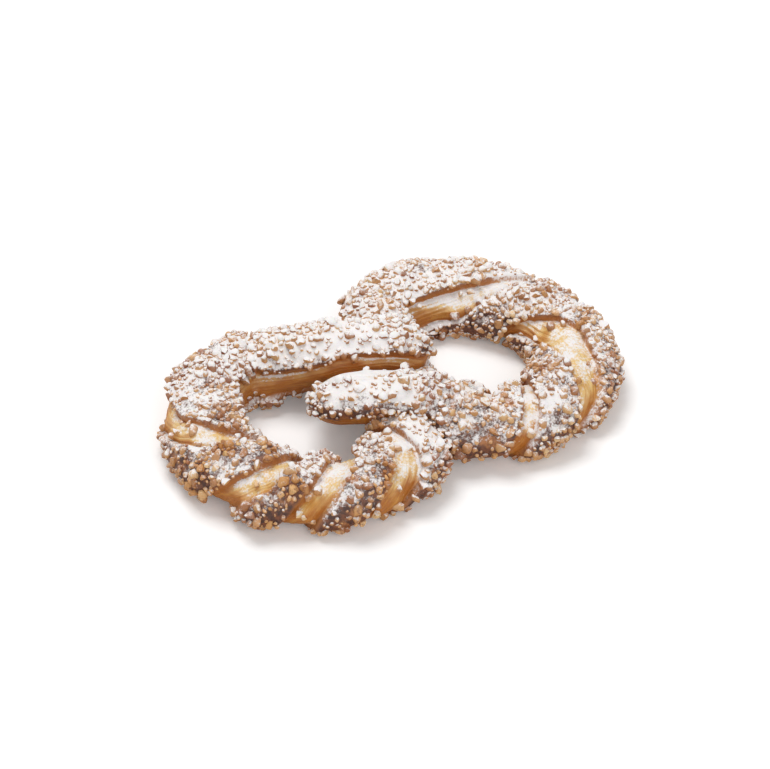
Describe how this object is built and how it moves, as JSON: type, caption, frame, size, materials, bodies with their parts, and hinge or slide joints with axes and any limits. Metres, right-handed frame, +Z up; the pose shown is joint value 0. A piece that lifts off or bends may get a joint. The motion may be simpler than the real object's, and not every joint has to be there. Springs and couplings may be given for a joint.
{
  "type": "twisted sweet pretzel",
  "caption": "Sweet pastry pretzel: a twisted rope of dough laid as a figure of eight, its two ends resting side by side on the middle strand.",
  "frame": {"origin": "centre of the bounding box's base, on the flat underside", "axes": "+X along the figure of eight, from the loop of the first end to the loop of the second; +Z up"},
  "size_m": [0.1818, 0.118, 0.0351],
  "materials": {
    "baked_dough": "baked pastry dough, matt, with a sugared nut topping"
  },
  "bodies": {
    "root": {"pretzel": "baked_dough"}
  },
  "joints": []
}
